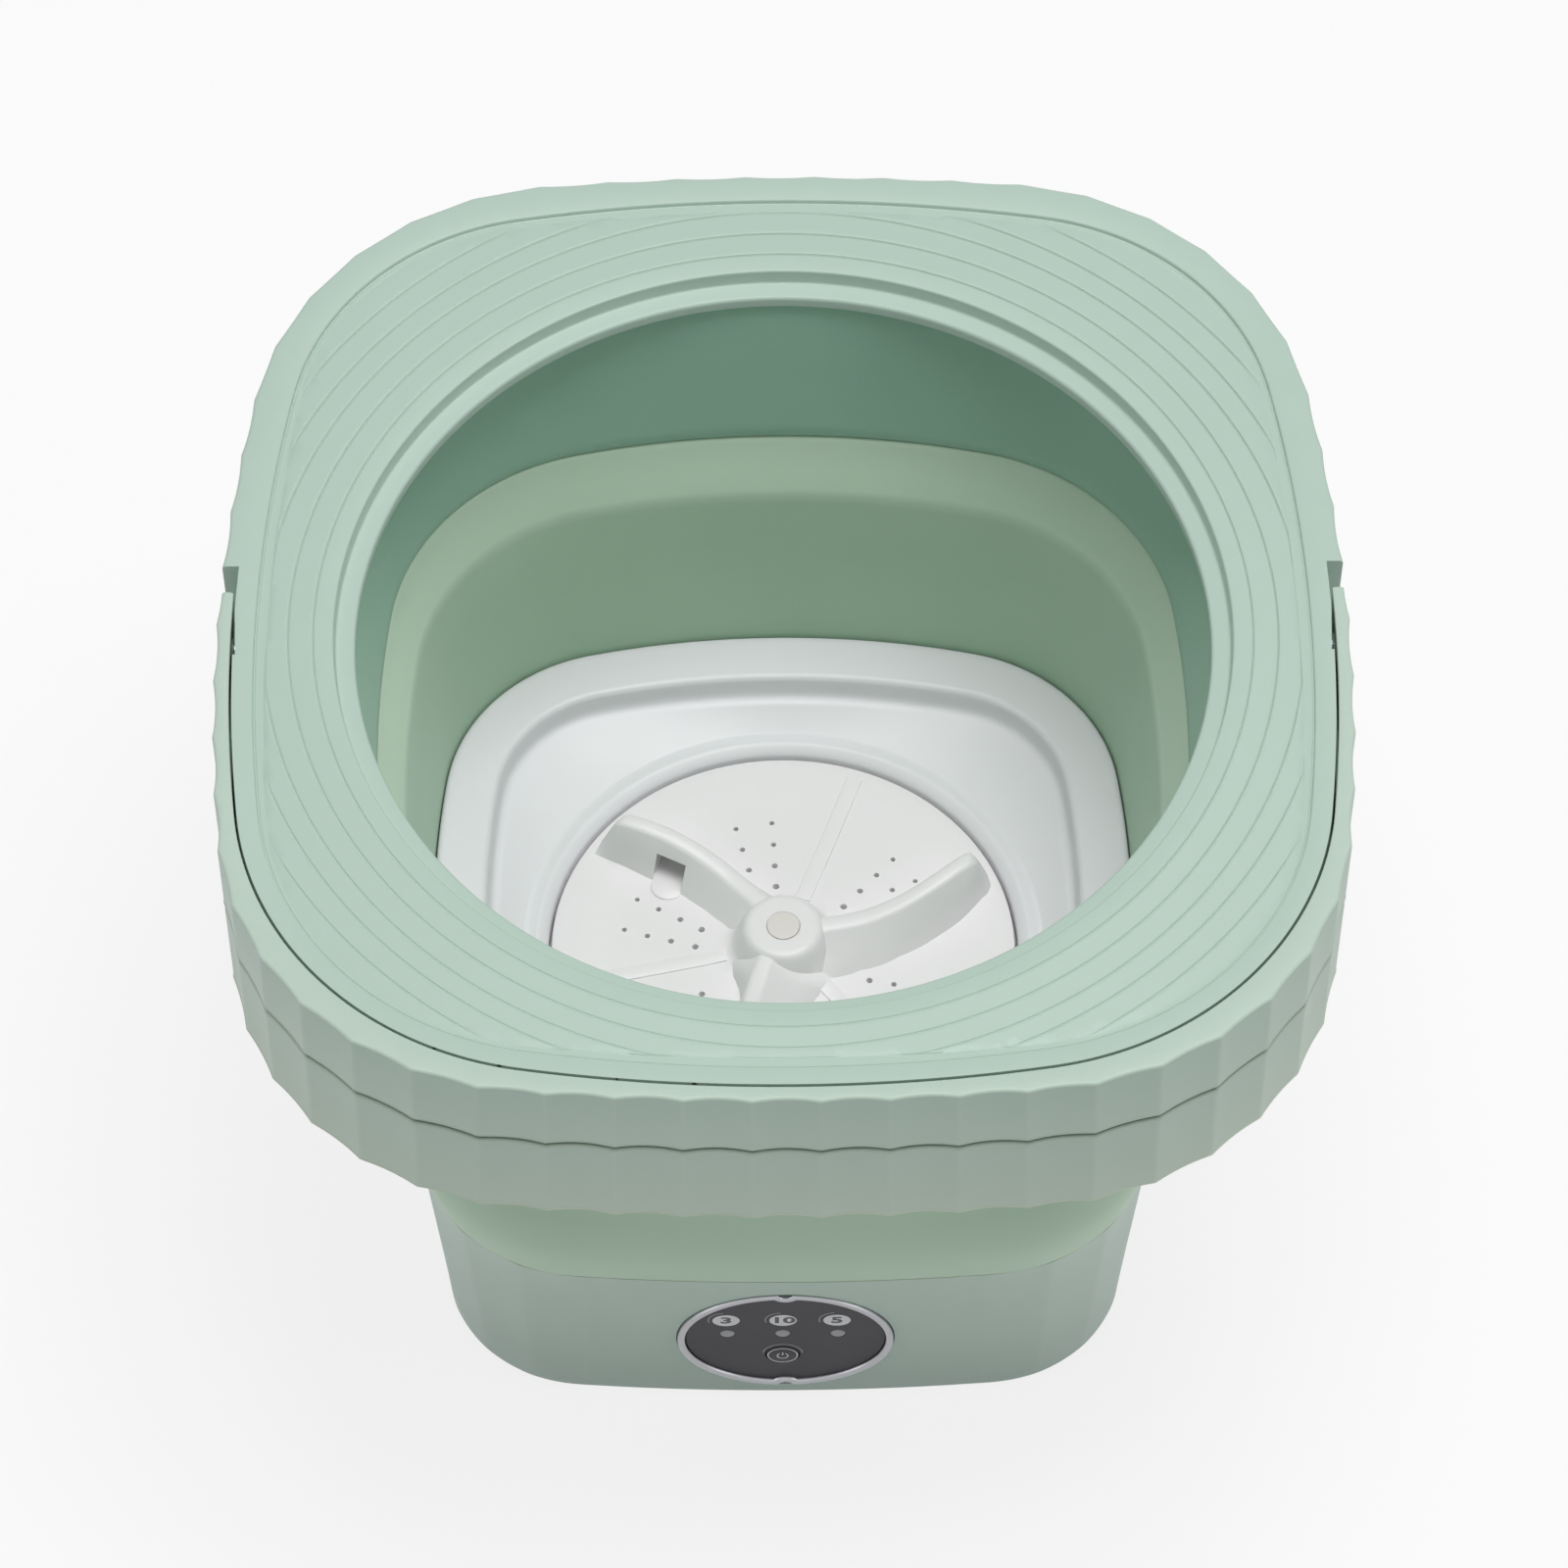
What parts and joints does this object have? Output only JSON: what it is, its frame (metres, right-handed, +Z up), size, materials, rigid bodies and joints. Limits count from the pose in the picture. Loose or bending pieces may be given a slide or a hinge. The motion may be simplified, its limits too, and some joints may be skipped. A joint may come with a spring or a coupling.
{
  "type": "folding mini washing machine",
  "caption": "Folding mini washing machine: moulded base with drive and control panel, soft tub that folds down, fluted rim with carry handle, and a vaned pulsator in a white basin.",
  "frame": {"origin": "on the floor, under the middle of the base and of the rim", "axes": "+Z up, front with the control panel towards -Y, +X to the right seen from the front"},
  "size_m": [0.3288, 0.3248, 0.242],
  "materials": {
    "shell_green": "satin moulded plastic",
    "skirt_green": "satin moulded plastic",
    "soft_green": "soft matt elastomer",
    "white_plastic": "smooth white plastic",
    "panel_grey": "smooth dark grey plastic",
    "bezel_silver": "silver finish",
    "lamp_grey": "translucent lamp, off",
    "button_grey": "smooth dark grey plastic",
    "steel": "bright steel",
    "brass": "turned brass",
    "black_rubber": "matt rubber",
    "black_plastic": "matt plastic",
    "board_green": "coated circuit board",
    "natural_plastic": "unpainted engineering plastic",
    "cap_white": "smooth off-white plastic"
  },
  "bodies": {
    "base": {"base_housing": "shell_green", "bottom_cover": "skirt_green", "basin": "white_plastic", "tub_lower_wall": "soft_green", "shaft_seal": "black_rubber", "upper_bush": "brass", "lower_bush": "brass", "gearbox_cover": "natural_plastic", "gearbox_housing": "natural_plastic", "motor_can": "steel", "motor_cap": "black_plastic", "panel_bezel": "bezel_silver", "panel_face": "panel_grey", "tact_switch": "black_plastic", "circuit_board": "board_green", "power_inlet": "black_plastic", "drain_outlet": "skirt_green", "drain_pipe": "white_plastic", "foot_1": "black_rubber", "foot_2": "black_rubber", "foot_3": "black_rubber", "foot_4": "black_rubber", "base_screw_1": "steel", "base_screw_2": "steel", "base_screw_3": "steel", "base_screw_4": "steel", "basin_screw_1": "steel", "basin_screw_2": "steel", "basin_screw_3": "steel", "basin_screw_4": "steel", "indicator_light_1": "lamp_grey", "indicator_light_2": "lamp_grey", "indicator_light_3": "lamp_grey"},
    "rim": {"rim_cover": "shell_green", "rim_skirt": "skirt_green", "handle_pin_left": "steel", "handle_pin_right": "steel", "tub_upper_wall": "soft_green", "tub_clamp_ring": "white_plastic", "clamp_screw_1": "steel", "clamp_screw_2": "steel", "clamp_screw_3": "steel", "clamp_screw_4": "steel"},
    "handle": {"carry_handle": "shell_green"},
    "pulsator_unit": {"pulsator": "white_plastic", "hub_cap": "cap_white", "pulsator_screw": "steel", "output_shaft": "steel", "drive_wheel": "natural_plastic"},
    "motor_rotor": {"motor_pinion": "brass", "motor_shaft": "steel"},
    "button": {"power_button": "button_grey"},
    "plug": {"drain_plug": "soft_green"}
  },
  "joints": [
    {"name": "rim_fold", "type": "slide", "parent": "base", "child": "rim", "axis": [0, 0, -1], "range_m": [0, 0.095], "deforming": ["tub_lower_wall"]},
    {"name": "handle_hinge", "type": "hinge", "parent": "rim", "child": "handle", "pos_m": [0, 0.0055, 0.228], "axis": [-1, 0, 0], "range_deg": [0, 90]},
    {"name": "pulsator_spin", "type": "hinge", "parent": "base", "child": "pulsator_unit", "pos_m": [0, 0, 0.07], "axis": [0, 0, 1], "continuous": true},
    {"name": "motor_spin", "type": "hinge", "parent": "base", "child": "motor_rotor", "pos_m": [-0.0375, 0, 0.05], "axis": [0, 0, 1], "continuous": true},
    {"name": "power_button_press", "type": "slide", "parent": "base", "child": "button", "axis": [0, 0.9914, 0.1305], "range_m": [0, 0.0005], "stiffness_N_per_m": 1500, "springref_m": -0.0004},
    {"name": "drain_plug_pull", "type": "slide", "parent": "base", "child": "plug", "axis": [0.0701, 0.989, -0.1305], "range_m": [0, 0.012]}
  ],
  "couplings": [
    {"joint": "motor_spin", "follows": "pulsator_spin", "ratio": -4}
  ]
}
